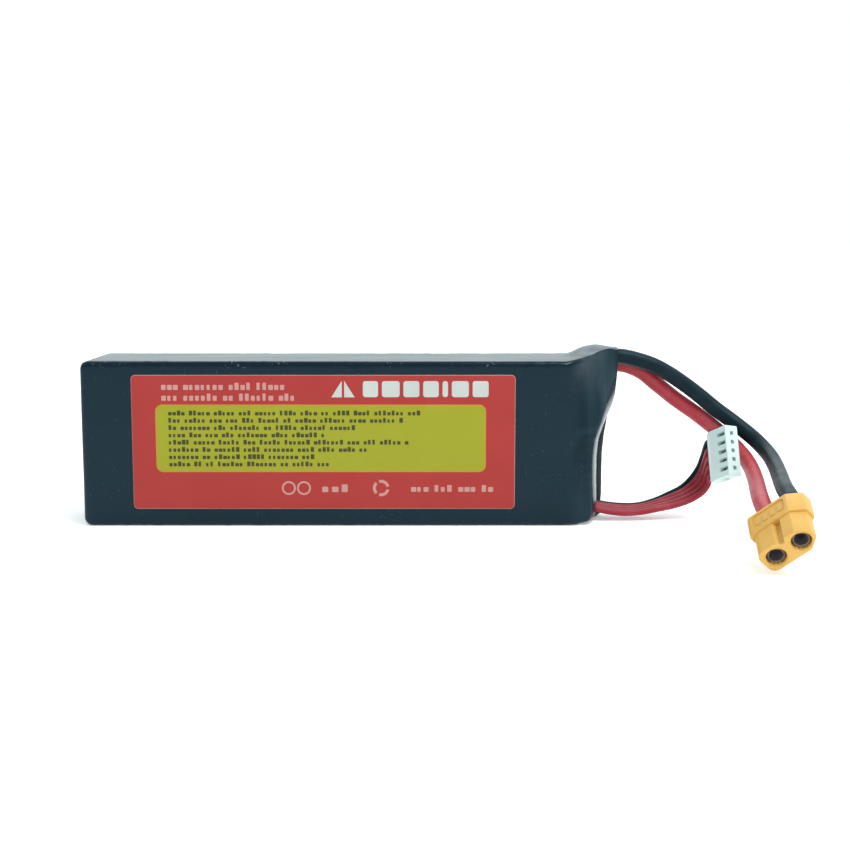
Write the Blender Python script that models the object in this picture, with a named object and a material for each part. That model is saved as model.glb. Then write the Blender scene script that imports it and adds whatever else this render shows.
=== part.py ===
"""Four-cell lithium polymer battery pack in black shrink film.

The pack stands on a long narrow side with its label facing -Y. The film's mouth is at +X: two
thick leads leave its top corner for a two-pole power plug, and five thin wires leave its bottom
corner for a five-way balance plug. Metres, +Z up. The origin is on the surface that the pack
stands on, under the middle of the pack without its leads.
"""
import math

import bmesh
import bpy
import numpy as np
from mathutils import Matrix, Vector

MM = 0.001
GAP = 0.3 * MM                     # clearance left between neighbouring solids

# --- driving dimensions -------------------------------------------------------------------
HALF_LENGTH = 75.3 * MM            # from the middle to the film's rear end and to its mouth's tip
FRONT_Y = -15.0 * MM               # outer face of the film behind the label
BACK_Y = 15.45 * MM                # outer face of the film on the other side
HEIGHT = 46.2 * MM                 # film, over the straight part of the pack
FILM = 0.4 * MM
FILM_RADIUS = 1.5 * MM             # long edges of the wrapped pack
FILM_SIDE_STEPS = 8
REAR_FOLD_Y = (-6.5 * MM, 9.0 * MM)     # outline of the flat part at the rear end
REAR_FOLD_Z = (7.0 * MM, 37.0 * MM)
REAR_FOLD_RADIUS = 5.0 * MM
MOUTH_X = 71.0 * MM                # the mouth's edge, in its lower half
MOUTH_TIP_Z = (24.0 * MM, 44.0 * MM)    # the edge runs forward between these heights

# Sections of the film where it draws in towards its mouth, in millimetres: X, front, back,
# bottom, top. It climbs over the thick leads and falls a little behind them.
TAPER = [
    (58.5, -15.0, 15.45, 0.0, 46.2),
    (62.0, -14.2, 15.3, 0.1, 47.1),
    (64.5, -12.6, 14.9, 0.3, 48.3),
    (66.5, -10.9, 14.3, 0.6, 49.45),
    (69.0, -9.5, 13.6, 0.9, 49.0),
    (71.0, -9.1, 13.2, 1.1, 48.6),
]

LABEL_X = (-61.1 * MM, 45.1 * MM)
LABEL_Z = (4.95 * MM, 42.45 * MM)
LABEL_THICKNESS = 0.15 * MM
LABEL_RADIUS = 1.2 * MM

CELL_COUNT = 4
CELL_X = (-73.3 * MM, 55.0 * MM)   # ends of the filled part of a pouch
CELL_FLANGE_END = 58.5 * MM        # end of the sealed edge that the tabs leave through
CELL_THICKNESS = 6.4 * MM
CELL_RADIUS = 1.2 * MM
CELL_CLEARANCE = 0.65 * MM         # between a cell and the tape round the stack
FLANGE_THICKNESS = 0.8 * MM
BAND_THICKNESS = 0.15 * MM         # tape wound round the stack
BAND_WIDTH = 12.0 * MM
BAND_RADIUS = 1.5 * MM
BAND_CLEARANCE = 0.35 * MM         # between the tape and the film
BAND_X = (-44.0 * MM, 36.0 * MM)   # middles of the two bands
PAD_TAPE_THICKNESS = 0.2 * MM      # double-sided tape between two cells
PAD_TAPE_LOW = (-60.0 * MM, 6.0 * MM)
PAD_TAPE_HIGH = (44.0 * MM, 40.2 * MM)
TAB_WIDTH = 8.0 * MM
TAB_THICKNESS = 0.2 * MM
TAB_FOOT = 2.4 * MM
TAB_Z = (13.0 * MM, 32.0 * MM)     # middles of the lower and upper row of tabs

# Flat pieces at the two ends of the stack: low and high corner, in millimetres.
REAR_PAD = ((-74.5, -13.0, 2.0), (-73.7, 13.4, 44.2))
BOARD = ((60.6, -12.0, 2.6), (61.6, 12.6, 43.2))
PAPER = ((61.9, -11.0, 7.5), (62.2, 11.6, 32.5))
SPACER_FOAM = ((58.8, -11.5, 18.0), (60.3, 12.0, 27.0))

LEAD_DIAMETER = 4.5 * MM           # 12 AWG silicone lead
WIRE_DIAMETER = 1.7 * MM           # 22 AWG silicone wire
WAYS = 5                           # one more than the cells in series
WAY_PITCH = 2.5 * MM

# Power plug, in its own frame: X from the square end to the pointed end, Y through its
# thickness, Z out of the mating face, origin in the middle of the mating face.
POWER_PLUG_ORIGIN = Vector((105.75, -75.85, 6.87)) * MM
POWER_PLUG_X = Vector((0.704, -0.362, 0.611))
POWER_PLUG_Z = Vector((-0.079, -0.895, -0.439))
POWER_PLUG_LENGTH = 14.4 * MM
NOSE_LENGTH = 7.6 * MM
COLLAR = (7.8, 7.7, 4.1, 4.2, 1.6, 0.9)         # outlines in millimetres, see pointed_outline
NOSE = (7.2, 7.1, 3.6, 4.0, 1.2, 2.0)
REAR_POCKET = (7.2, 7.1, 3.5, 4.0, 1.5, 0.6)
INSERT = (6.9, 6.8, 3.2, 3.9, 1.4, 0.5)
INSERT_THICKNESS = 1.5 * MM
INSERT_RECESS = 0.2 * MM
GROOVE_WIDTH = 2.0 * MM            # between the two towers of the nose
GROOVE_DEPTH = 0.7 * MM
GROOVE_Z = (-7.2 * MM, -1.2 * MM)
SOCKET_PITCH = 7.2 * MM
SOCKET_BORE = 3.5 * MM
SOCKET_OUTER = 4.3 * MM
SOCKET_MOUTH = 0.7 * MM            # how far the brass stays behind the mating face
SOCKET_BORE_DEPTH = 9.5 * MM
SOCKET_END = 11.9 * MM             # how deep the brass sockets reach behind the mating face
HOUSING_BORE = 4.9 * MM
LEAD_STRAIGHT = 16.5 * MM          # the leads run straight from this depth to their sockets

# Balance plug, in its own frame: X through its thickness, Y along the row of ways, Z out of
# the mating face, origin in the middle of the mating face. The windows are on its -X side.
BALANCE_PLUG_ORIGIN = Vector((105.9, -14.0, 21.32)) * MM
BALANCE_PLUG_X = Vector((0.900, 0.407, -0.154))
BALANCE_PLUG_Z = Vector((0.434, -0.818, 0.378))
BALANCE_PLUG_SIZE = Vector((4.2, 14.4, 9.6)) * MM
BALANCE_PLUG_RADIUS = 0.3 * MM
CHAMFER_LENGTH = 2.7 * MM          # slope at the rear edge of the side with the windows
CHAMFER_DEPTH = 0.8 * MM
RIB_HALF_WIDTH = 0.7 * MM          # low rib on the end next to the first way
RIB_HEIGHT = 0.6 * MM
RIB_Z = (-5.6 * MM, -3.2 * MM)
RIB_SLOPE = 0.3 * MM
CHANNEL_WIDTH = 1.5 * MM           # square channel that holds a contact
PIN_HOLE_WIDTH = 1.1 * MM
PIN_HOLE_DEPTH = 1.1 * MM
WINDOW_WIDTH = 1.1 * MM
WINDOW_Z = (-3.9 * MM, -0.5 * MM)
CONTACT_END = 9.0 * MM             # how deep the contacts reach behind the mating face

# Routes of the two thick leads, from the solder point to the brass socket, in millimetres.
BLACK_ROUTE = [
    (63.3, 4.2, 42.4), (66.8, 4.2, 44.3), (71.0, 4.2, 45.7), (76.3, 4.2, 46.1), (81.6, 4.6, 45.0),
    (87.1, 5.2, 43.0), (93.0, 5.7, 39.6), (98.8, 5.6, 35.4), (104.5, 4.8, 30.8), (109.9, 3.2, 26.8),
    (114.5, 0.2, 23.0), (116.7, -3.9, 20.5), (117.5, -9.5, 18.7), (116.9, -18.0, 17.3),
    (114.9, -30.0, 16.7), (112.3, -43.0, 16.9), (110.2, -54.0, 17.2),
]
RED_ROUTE = [
    (63.3, 8.8, 38.1), (66.8, 8.8, 40.6), (71.0, 8.8, 42.7), (77.2, 8.8, 43.4), (83.1, 8.7, 41.4),
    (87.8, 8.6, 37.7), (93.1, 8.2, 33.5), (99.4, 7.5, 29.1), (104.9, 6.0, 24.8), (108.3, 3.6, 21.7),
    (110.6, 0.2, 19.2), (111.8, -4.2, 17.2), (112.0, -10.5, 15.4), (111.1, -18.5, 14.2),
    (109.2, -29.0, 13.8), (106.8, -41.0, 13.9), (105.1, -51.0, 13.5),
]
# Stations along the five balance wires: the middle wire's place, and the step from one wire
# to the next, in millimetres. The ribbon turns from lying flat to standing in the plug.
BALANCE_STATIONS = [
    ((62.4, -3.0, 5.2), (0.0, 1.85, 0.2)), ((66.5, -3.3, 4.3), (0.0, 1.85, 0.2)),
    ((71.5, -3.5, 3.2), (0.0, 1.85, 0.2)), ((76.6, -3.5, 2.6), (0.0, 1.85, 0.2)),
    ((81.7, -3.4, 2.8), (0.0, 1.85, 0.15)), ((86.7, -2.7, 3.8), (0.0, 1.85, 0.25)),
    ((91.3, -1.8, 5.1), (-0.1, 1.78, 0.5)), ((95.3, -1.0, 6.6), (-0.3, 1.72, 0.6)),
    ((98.4, -0.6, 8.8), (-0.5, 1.68, 0.7)), ((100.3, -0.9, 11.6), (-0.4, 1.58, 0.95)),
    ((100.9, -2.2, 14.4), (-0.2, 1.4, 1.5)),
]


# --- shape helpers ------------------------------------------------------------------------
def new_material(name, colour, roughness=0.5, metallic=0.0):
    """Principled material with one colour."""
    material = bpy.data.materials.new(name)
    material.use_nodes = True
    shader = material.node_tree.nodes["Principled BSDF"]
    shader.inputs["Base Color"].default_value = (*colour, 1.0)
    shader.inputs["Roughness"].default_value = roughness
    shader.inputs["Metallic"].default_value = metallic
    return material


def add_object(name, bm, material, parent=None):
    """Turn a bmesh into a named object with outward normals."""
    bmesh.ops.recalc_face_normals(bm, faces=bm.faces)
    mesh = bpy.data.meshes.new(name)
    bm.to_mesh(mesh)
    bm.free()
    mesh.materials.append(material)
    mesh.shade_smooth()
    mesh.set_sharp_from_angle(angle=math.radians(35.0))
    thing = bpy.data.objects.new(name, mesh)
    thing.parent = parent
    bpy.context.scene.collection.objects.link(thing)
    return thing


def rounded_rectangle(low, high, radius, corner_steps=4):
    """Outline of a rectangle with round corners, anticlockwise, as (a, b) pairs."""
    points = []
    centres = [(high[0] - radius, high[1] - radius, 0), (low[0] + radius, high[1] - radius, 90),
               (low[0] + radius, low[1] + radius, 180), (high[0] - radius, low[1] + radius, 270)]
    for a, b, start in centres:
        for step in range(corner_steps + 1):
            angle = math.radians(start + 90.0 * step / corner_steps)
            points.append((a + radius * math.cos(angle), b + radius * math.sin(angle)))
    return points


def ring_yz(x, low, high, radius, corner_steps=4):
    """Rounded rectangle in the plane at x, from low=(y, z) to high=(y, z)."""
    return [(x, y, z) for y, z in rounded_rectangle(low, high, radius, corner_steps)]


def loft(rings, closed=False):
    """Skin rings of equal length. A closed loft joins its last ring to its first."""
    bm = bmesh.new()
    loops = [[bm.verts.new(point) for point in ring] for ring in rings]
    pairs = list(zip(loops, loops[1:]))
    if closed:
        pairs.append((loops[-1], loops[0]))
    count = len(loops[0])
    for first, second in pairs:
        for k in range(count):
            following = (k + 1) % count
            bm.faces.new((first[k], first[following], second[following], second[k]))
    if not closed:
        bm.faces.new(loops[0])
        bm.faces.new(loops[-1])
    return bm


def prism(outline, start, end):
    """Outline of (a, b) pairs in local X and Y, extruded along local Z."""
    return loft([[(a, b, start) for a, b in outline], [(a, b, end) for a, b in outline]])


def block(low, high, radius, corner_steps=3):
    """Slab with its rounded outline in the Y-Z plane, thin along X."""
    return loft([ring_yz(low[0], low[1:], high[1:], radius, corner_steps),
                 ring_yz(high[0], low[1:], high[1:], radius, corner_steps)])


def circle(radius, centre=(0.0, 0.0), sides=24):
    """Points of a circle as (a, b) pairs."""
    angles = [2.0 * math.pi * k / sides for k in range(sides)]
    return [(centre[0] + radius * math.cos(a), centre[1] + radius * math.sin(a)) for a in angles]


def cut(thing, name, bm, parent=None):
    """Take the bmesh away from the object with a hidden cutter."""
    cutter = add_object(name, bm, thing.data.materials[0], parent)
    cutter.hide_render = True
    cutter.display_type = 'WIRE'
    modifier = thing.modifiers.new(name, 'BOOLEAN')
    modifier.operation = 'DIFFERENCE'
    modifier.solver = 'EXACT'
    modifier.object = cutter


def local_frame(name, origin, x_axis, z_axis):
    """Empty that carries a plug's own frame."""
    z_axis = z_axis.normalized()
    y_axis = z_axis.cross(x_axis).normalized()
    x_axis = y_axis.cross(z_axis)
    frame = bpy.data.objects.new(name, None)
    matrix = Matrix((x_axis, y_axis, z_axis)).transposed().to_4x4()
    matrix.translation = origin
    frame.matrix_world = matrix
    bpy.context.scene.collection.objects.link(frame)
    return frame, matrix


def smooth_route(points, spacing):
    """Points spaced evenly on a Catmull-Rom curve through the given points."""
    ends = [2 * points[0] - points[1], *points, 2 * points[-1] - points[-2]]
    dense = []
    for p0, p1, p2, p3 in zip(ends, ends[1:], ends[2:], ends[3:]):
        for t in np.linspace(0.0, 1.0, 16, endpoint=False):
            dense.append(0.5 * (2 * p1 + (p2 - p0) * t + (2 * p0 - 5 * p1 + 4 * p2 - p3) * t ** 2
                                + (3 * p1 - p0 - 3 * p2 + p3) * t ** 3))
    dense.append(points[-1])
    path = np.array([tuple(p) for p in dense])
    travelled = np.concatenate([[0.0], np.cumsum(np.linalg.norm(np.diff(path, axis=0), axis=1))])
    stations = np.linspace(0.0, travelled[-1], round(travelled[-1] / spacing) + 1)
    return [Vector([np.interp(s, travelled, path[:, axis]) for axis in range(3)]) for s in stations]


def tube(name, points, diameter, material, resolution):
    """Cord along the points: a bevelled curve with filled caps."""
    curve = bpy.data.curves.new(name, 'CURVE')
    curve.dimensions = '3D'
    curve.bevel_depth = diameter / 2
    curve.bevel_resolution = resolution
    curve.use_fill_caps = True
    curve.render_resolution_u = 0
    spline = curve.splines.new('POLY')
    spline.points.add(len(points) - 1)
    for slot, point in zip(spline.points, points):
        slot.co = (*point, 1.0)
    curve.materials.append(material)
    thing = bpy.data.objects.new(name, curve)
    bpy.context.scene.collection.objects.link(thing)


# --- pack ---------------------------------------------------------------------------------
def film_ring(x, low, high, radius, tip=0.0):
    """Ring of the film. With a tip, its upper part reaches further along X than its lower part."""
    outline = rounded_rectangle(low, high, radius)
    ring = []
    for (y, z), (next_y, next_z) in zip(outline, outline[1:] + outline[:1]):
        steps = FILM_SIDE_STEPS if abs(next_z - z) > 2 * radius else 1
        for share in np.linspace(0.0, 1.0, steps, endpoint=False):
            height = z + share * (next_z - z)
            forward = np.clip((height - MOUTH_TIP_Z[0]) / (MOUTH_TIP_Z[1] - MOUTH_TIP_Z[0]), 0.0, 1.0)
            reach = tip * forward ** 2 * (3.0 - 2.0 * forward)
            ring.append((x + reach, y + share * (next_y - y), height))
    return ring


def film_sections():
    """Outer sections of the film from its rear end to its mouth: (x, low, high, radius, tip)."""
    fold_low, fold_high = zip(REAR_FOLD_Y, REAR_FOLD_Z)
    sections = [(-HALF_LENGTH, fold_low, fold_high, REAR_FOLD_RADIUS, 0.0)]
    for angle in np.radians((0.0, 30.0, 60.0, 90.0)):
        inset = FILM_RADIUS * (1.0 - math.sin(angle))
        x = -HALF_LENGTH + FILM_RADIUS * (1.0 - math.cos(angle))
        low = (FRONT_Y + inset, inset)
        high = (BACK_Y - inset, HEIGHT - inset)
        sections.append((x, low, high, FILM_RADIUS, 0.0))
    taper_start = TAPER[0][0] * MM
    for row in TAPER:
        x, front, back, bottom, top = (value * MM for value in row)
        share = (x - taper_start) / (MOUTH_X - taper_start)
        tip = (HALF_LENGTH - MOUTH_X) * share ** 2
        sections.append((x, (front, bottom), (back, top), FILM_RADIUS, tip))
    return sections


def film_lining(sections):
    """The same sections, one film thickness further in."""
    lining = []
    for x, low, high, radius, tip in sections[1:]:
        from_rear = (x + HALF_LENGTH) / FILM_RADIUS
        x += FILM * max(0.0, 1.0 - from_rear)
        low = (low[0] + FILM, low[1] + FILM)
        high = (high[0] - FILM, high[1] - FILM)
        lining.append((x, low, high, radius - FILM, tip))
    x, *rest = sections[0]
    return [(x + FILM, *rest), *lining]


def build_film(material):
    """Shrink film: one skin, folded in round the rear end and open at its mouth."""
    sections = film_sections()
    outer = [film_ring(*section) for section in sections]
    inner = [film_ring(*section) for section in film_lining(sections)]
    add_object("shrink_wrap", loft(outer + inner[::-1], closed=True), material)


def build_label(material):
    """Thin printed label, a gap in front of the film."""
    outline = rounded_rectangle((LABEL_X[0], LABEL_Z[0]), (LABEL_X[1], LABEL_Z[1]), LABEL_RADIUS)
    back = FRONT_Y - GAP
    rings = [[(x, y, z) for x, z in outline] for y in (back, back - LABEL_THICKNESS)]
    add_object("front_label", loft(rings), material)


def cell_low_y(index):
    """Front face of a cell in the stack."""
    first = FRONT_Y + FILM + BAND_THICKNESS + CELL_CLEARANCE
    return first + index * (CELL_THICKNESS + PAD_TAPE_THICKNESS + 2 * GAP)


def build_cell(index, material):
    """Filled pouch with a thin sealed edge at its front end."""
    low_y = cell_low_y(index)
    high_y = low_y + CELL_THICKNESS
    low_z = FILM + BAND_THICKNESS + CELL_CLEARANCE
    high_z = HEIGHT - low_z
    rings = []
    for x, inset in ((CELL_X[0], 1.0 * MM), (CELL_X[0] + 0.4 * MM, 0.3 * MM),
                     (CELL_X[0] + 1.2 * MM, 0.0), (CELL_X[1] - 1.5 * MM, 0.0),
                     (CELL_X[1] - 0.6 * MM, 0.5 * MM)):
        low = (low_y + inset, low_z + inset)
        high = (high_y - inset, high_z - inset)
        rings.append(ring_yz(x, low, high, CELL_RADIUS, 3))
    middle = (low_y + high_y) / 2
    low = (middle - FLANGE_THICKNESS / 2, low_z + MM)
    high = (middle + FLANGE_THICKNESS / 2, high_z - MM)
    for x in (CELL_X[1], CELL_FLANGE_END):
        rings.append(ring_yz(x, low, high, 0.3 * MM, 3))
    add_object(f"cell_{index + 1}", loft(rings), material)


def build_stack(pouch, tab_plate, pad_tape):
    """Four pouches, their tabs and the tape between them."""
    outline = rounded_rectangle(PAD_TAPE_LOW, PAD_TAPE_HIGH, 2.0 * MM, 3)
    for index in range(CELL_COUNT):
        build_cell(index, pouch)
        low_y = cell_low_y(index)
        build_tabs(index, low_y + CELL_THICKNESS / 2, tab_plate)
        if index < CELL_COUNT - 1:
            start = low_y + CELL_THICKNESS + GAP
            rings = [[(x, y, z) for x, z in outline] for y in (start, start + PAD_TAPE_THICKNESS)]
            add_object(f"cell_tape_{index + 1}", loft(rings), pad_tape)


def build_tabs(index, middle, material):
    """Two L-shaped tabs, feet on the board. Every second cell is turned over, for the series."""
    for row, z in enumerate(TAB_Z):
        partner_ahead = (index % 2 == 0) if row == 1 else (index % 2 == 1 or index == 0)
        side = 1.0 if partner_ahead else -1.0
        positive = (row == 1) == (index % 2 == 1)
        start = CELL_FLANGE_END + GAP
        end = BOARD[0][0] * MM - GAP
        half = TAB_THICKNESS / 2
        outline = [(start, -half), (end, -half), (end, TAB_FOOT), (end - TAB_THICKNESS, TAB_FOOT),
                   (end - TAB_THICKNESS, half), (start, half)]
        rings = [[(x, middle + side * y, height) for x, y in outline]
                 for height in (z - TAB_WIDTH / 2, z + TAB_WIDTH / 2)]
        name = f"cell_{index + 1}_{'positive' if positive else 'negative'}_tab"
        add_object(name, loft(rings), material)


def build_bands(material):
    """Two loops of tape round the stack of cells."""
    margin = FILM + BAND_CLEARANCE
    for name, x in zip(("stack_tape_rear", "stack_tape_front"), BAND_X):
        rings = []
        for end, depth in ((-1, 0.0), (1, 0.0), (1, BAND_THICKNESS), (-1, BAND_THICKNESS)):
            inset = margin + depth
            low = (FRONT_Y + inset, inset)
            high = (BACK_Y - inset, HEIGHT - inset)
            rings.append(ring_yz(x + end * BAND_WIDTH / 2, low, high, BAND_RADIUS - depth))
        add_object(name, loft(rings, closed=True), material)


def build_end_pieces(board, paper, foam):
    """Rear pad, the board that joins the tabs, its paper cover and the foam between tab rows."""
    for name, (low, high), radius, material in (("rear_end_pad", REAR_PAD, 1.5 * MM, foam),
                                                ("tab_board", BOARD, 1.0 * MM, board),
                                                ("insulating_paper", PAPER, 1.0 * MM, paper),
                                                ("tab_spacer_foam", SPACER_FOAM, 0.8 * MM, foam)):
        add_object(name, block(Vector(low) * MM, Vector(high) * MM, radius), material)


# --- power plug and its leads ---------------------------------------------------------------
def pointed_outline(square_end, pointed_end, half_thickness, shoulder, tip_half, corner):
    """Plug outline in metres from millimetres: round corners at one end, chamfers at the other."""
    points = [(pointed_end, -tip_half), (pointed_end, tip_half), (shoulder, half_thickness)]
    for start, sign in ((90.0, 1.0), (180.0, -1.0)):
        for angle in np.radians(np.linspace(start, start + 90.0, 5)):
            points.append((-square_end + corner + corner * math.cos(angle),
                           sign * (half_thickness - corner) + corner * math.sin(angle)))
    points.append((shoulder, -half_thickness))
    return [(a * MM, b * MM) for a, b in points]


def build_power_plug(plastic, brass):
    """Two-pole plug: a narrow nose on a wider collar, with a brass socket for each pole."""
    frame, matrix = local_frame("power_plug_frame", POWER_PLUG_ORIGIN, POWER_PLUG_X, POWER_PLUG_Z)
    collar = pointed_outline(*COLLAR)
    nose = pointed_outline(*NOSE)
    rings = [[(a, b, z) for a, b in outline] for outline, z in (
        (collar, -POWER_PLUG_LENGTH), (collar, -NOSE_LENGTH), (nose, -NOSE_LENGTH), (nose, 0.0))]
    housing = add_object("power_plug_housing", loft(rings), plastic, frame)
    behind = -POWER_PLUG_LENGTH - MM
    pocket_floor = -POWER_PLUG_LENGTH + INSERT_RECESS + INSERT_THICKNESS + GAP
    surface = NOSE[2] * MM
    groove = rounded_rectangle((-GROOVE_WIDTH / 2, surface - GROOVE_DEPTH),
                               (GROOVE_WIDTH / 2, surface + MM), 0.4 * MM, 3)
    cut(housing, "groove", prism(groove, *GROOVE_Z), frame)
    cut(housing, "rear_pocket", prism(pointed_outline(*REAR_POCKET), behind, pocket_floor), frame)
    plate = prism(pointed_outline(*INSERT), -POWER_PLUG_LENGTH + INSERT_RECESS, pocket_floor - GAP)
    insert = add_object("power_plug_insert", plate, plastic, frame)
    for pole, x in (("positive", -SOCKET_PITCH / 2), ("negative", SOCKET_PITCH / 2)):
        cut(housing, f"{pole}_bore", prism(circle(HOUSING_BORE / 2, (x, 0.0)), behind, MM), frame)
        hole = circle(LEAD_DIAMETER / 2 + GAP, (x, 0.0))
        cut(insert, f"{pole}_lead_hole", prism(hole, behind, 0.0), frame)
        build_socket(f"power_contact_{pole}", x, brass, frame)
    return matrix


def build_socket(name, x, material, frame):
    """Brass tube, open at the mating face and blind behind."""
    outer = SOCKET_OUTER / 2
    bore = SOCKET_BORE / 2
    profile = [(outer, -SOCKET_END), (outer, -SOCKET_MOUTH), (bore, -SOCKET_MOUTH),
               (bore, -SOCKET_BORE_DEPTH)]
    rings = [[(a, b, z) for a, b in circle(radius, (x, 0.0))] for radius, z in profile]
    add_object(name, loft(rings), material, frame)


def build_leads(matrix, black, red):
    """Two silicone leads. Each one ends straight in the plug, just behind its socket."""
    for name, route, x, material in (("main_lead_black", BLACK_ROUTE, SOCKET_PITCH / 2, black),
                                     ("main_lead_red", RED_ROUTE, -SOCKET_PITCH / 2, red)):
        points = [Vector(point) * MM for point in route]
        for depth in (LEAD_STRAIGHT, POWER_PLUG_LENGTH, SOCKET_END + GAP):
            points.append(matrix @ Vector((x, 0.0, -depth)))
        tube(name, smooth_route(points, 5.0 * MM), LEAD_DIAMETER, material, 4)


# --- balance plug and its wires -------------------------------------------------------------
def balance_ring(z, chamfer, rib):
    """Section of the housing, shaved on its -X side and with a rib on its -Y end."""
    half = BALANCE_PLUG_SIZE / 2
    outline = rounded_rectangle((-half.x + chamfer, -half.y), (half.x, half.y), BALANCE_PLUG_RADIUS, 2)
    low_side = outline[-3:]
    crest = -half.y - rib
    bump = [(-RIB_HALF_WIDTH, -half.y), (-RIB_HALF_WIDTH / 2, crest), (RIB_HALF_WIDTH / 2, crest),
            (RIB_HALF_WIDTH, -half.y)]
    return [(x, y, z) for x, y in outline[:-3] + bump + low_side]


def build_balance_plug(plastic, metal):
    """Five-way plug. Each way has a channel, a window into it and a pin hole in front of it."""
    frame, matrix = local_frame("balance_plug_frame", BALANCE_PLUG_ORIGIN, BALANCE_PLUG_X,
                                BALANCE_PLUG_Z)
    rear = -BALANCE_PLUG_SIZE.z
    rings = [balance_ring(rear, CHAMFER_DEPTH, 0.0), balance_ring(rear + CHAMFER_LENGTH, 0.0, 0.0),
             balance_ring(RIB_Z[0], 0.0, 0.0), balance_ring(RIB_Z[0] + RIB_SLOPE, 0.0, RIB_HEIGHT),
             balance_ring(RIB_Z[1] - RIB_SLOPE, 0.0, RIB_HEIGHT), balance_ring(RIB_Z[1], 0.0, 0.0),
             balance_ring(0.0, 0.0, 0.0)]
    housing = add_object("balance_plug_housing", loft(rings), plastic, frame)
    for way in range(WAYS):
        y = (way - (WAYS - 1) / 2) * WAY_PITCH
        cut(housing, f"channel_{way + 1}", channel(y, rear), frame)
        half_window = WINDOW_WIDTH / 2
        opening = [(-BALANCE_PLUG_SIZE.x, y - half_window), (0.0, y - half_window),
                   (0.0, y + half_window), (-BALANCE_PLUG_SIZE.x, y + half_window)]
        cut(housing, f"window_{way + 1}", prism(opening, *WINDOW_Z), frame)
        half_contact = CHANNEL_WIDTH / 2 - GAP
        contact = rounded_rectangle((-half_contact, y - half_contact),
                                    (half_contact, y + half_contact), 0.15 * MM, 1)
        add_object(f"balance_contact_{way + 1}", prism(contact, -CONTACT_END, -PIN_HOLE_DEPTH - GAP),
                   metal, frame)
    return matrix


def channel(y, rear):
    """Cutter for one way: a wide channel from the rear and a narrower pin hole in front."""
    rings = []
    for width, z in ((CHANNEL_WIDTH, rear - MM), (CHANNEL_WIDTH, -PIN_HOLE_DEPTH),
                     (PIN_HOLE_WIDTH, -PIN_HOLE_DEPTH), (PIN_HOLE_WIDTH, MM)):
        half = width / 2
        rings.append([(-half, y - half, z), (half, y - half, z), (half, y + half, z),
                      (-half, y + half, z)])
    return loft(rings)


def build_balance_wires(matrix, black, red):
    """Five thin wires side by side. The top one, on the pack's negative end, is black."""
    for way in range(WAYS):
        step = way - (WAYS - 1) / 2
        points = [(Vector(centre) + step * Vector(stride)) * MM for centre, stride in BALANCE_STATIONS]
        for behind in (1.6 * MM, GAP):
            points.append(matrix @ Vector((0.0, step * WAY_PITCH, -BALANCE_PLUG_SIZE.z - behind)))
        material = black if way == WAYS - 1 else red
        tube(f"balance_wire_{way + 1}", smooth_route(points, 3.2 * MM), WIRE_DIAMETER, material, 2)


def build():
    """Empty the scene and model the pack."""
    for thing in list(bpy.data.objects):
        bpy.data.objects.remove(thing, do_unlink=True)
    silicone_black = new_material("silicone_black", (0.012, 0.016, 0.020), 0.45)
    silicone_red = new_material("silicone_red", (0.52, 0.05, 0.06), 0.45)
    foam = new_material("foam", (0.05, 0.05, 0.06), 0.9)
    pouch = new_material("pouch", (0.62, 0.63, 0.65), 0.3, 0.9)
    tab_plate = new_material("tab_plate", (0.75, 0.73, 0.68), 0.3, 1.0)
    pad_tape = new_material("pad_tape", (0.75, 0.75, 0.70), 0.7)
    board = new_material("board", (0.02, 0.18, 0.08), 0.5)
    paper = new_material("paper", (0.45, 0.55, 0.50), 0.8)
    yellow = new_material("plug_yellow", (0.85, 0.48, 0.08), 0.4)
    brass = new_material("brass", (0.80, 0.62, 0.28), 0.25, 1.0)
    white = new_material("plug_white", (0.80, 0.84, 0.82), 0.4)
    tinned = new_material("tinned_contact", (0.70, 0.70, 0.68), 0.3, 1.0)
    build_film(new_material("film", (0.010, 0.014, 0.022), 0.22))
    build_label(new_material("label", (0.60, 0.07, 0.06), 0.4))
    build_stack(pouch, tab_plate, pad_tape)
    build_bands(new_material("polyimide", (0.70, 0.38, 0.05), 0.3))
    build_end_pieces(board, paper, foam)
    power_matrix = build_power_plug(yellow, brass)
    build_leads(power_matrix, silicone_black, silicone_red)
    balance_matrix = build_balance_plug(white, tinned)
    build_balance_wires(balance_matrix, silicone_black, silicone_red)


build()
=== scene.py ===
"""Looks of a four-cell lithium polymer battery pack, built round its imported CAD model.

Metres, +Z up. The pack lies along X with its label facing -Y. The film, the label, the leads,
the wires and both plugs are modelled here in detail; the pieces inside keep their CAD meshes.
"""
import math
import random

import bmesh
import bpy
import numpy as np
from mathutils import Matrix, Vector, noise


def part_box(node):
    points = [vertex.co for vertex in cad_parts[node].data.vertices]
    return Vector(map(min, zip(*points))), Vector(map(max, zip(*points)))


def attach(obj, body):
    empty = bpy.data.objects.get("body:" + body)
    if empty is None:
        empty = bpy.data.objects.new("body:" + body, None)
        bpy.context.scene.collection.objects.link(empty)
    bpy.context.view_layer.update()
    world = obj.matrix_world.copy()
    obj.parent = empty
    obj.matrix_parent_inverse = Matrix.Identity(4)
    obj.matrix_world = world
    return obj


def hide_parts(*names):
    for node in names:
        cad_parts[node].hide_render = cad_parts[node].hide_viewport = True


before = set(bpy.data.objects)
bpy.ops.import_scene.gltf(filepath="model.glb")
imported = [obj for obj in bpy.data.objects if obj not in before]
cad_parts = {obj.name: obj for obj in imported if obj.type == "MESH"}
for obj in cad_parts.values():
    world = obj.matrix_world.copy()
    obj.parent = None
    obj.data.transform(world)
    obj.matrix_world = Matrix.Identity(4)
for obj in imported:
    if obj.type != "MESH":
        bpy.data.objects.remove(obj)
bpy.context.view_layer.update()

MM = 0.001

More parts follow.
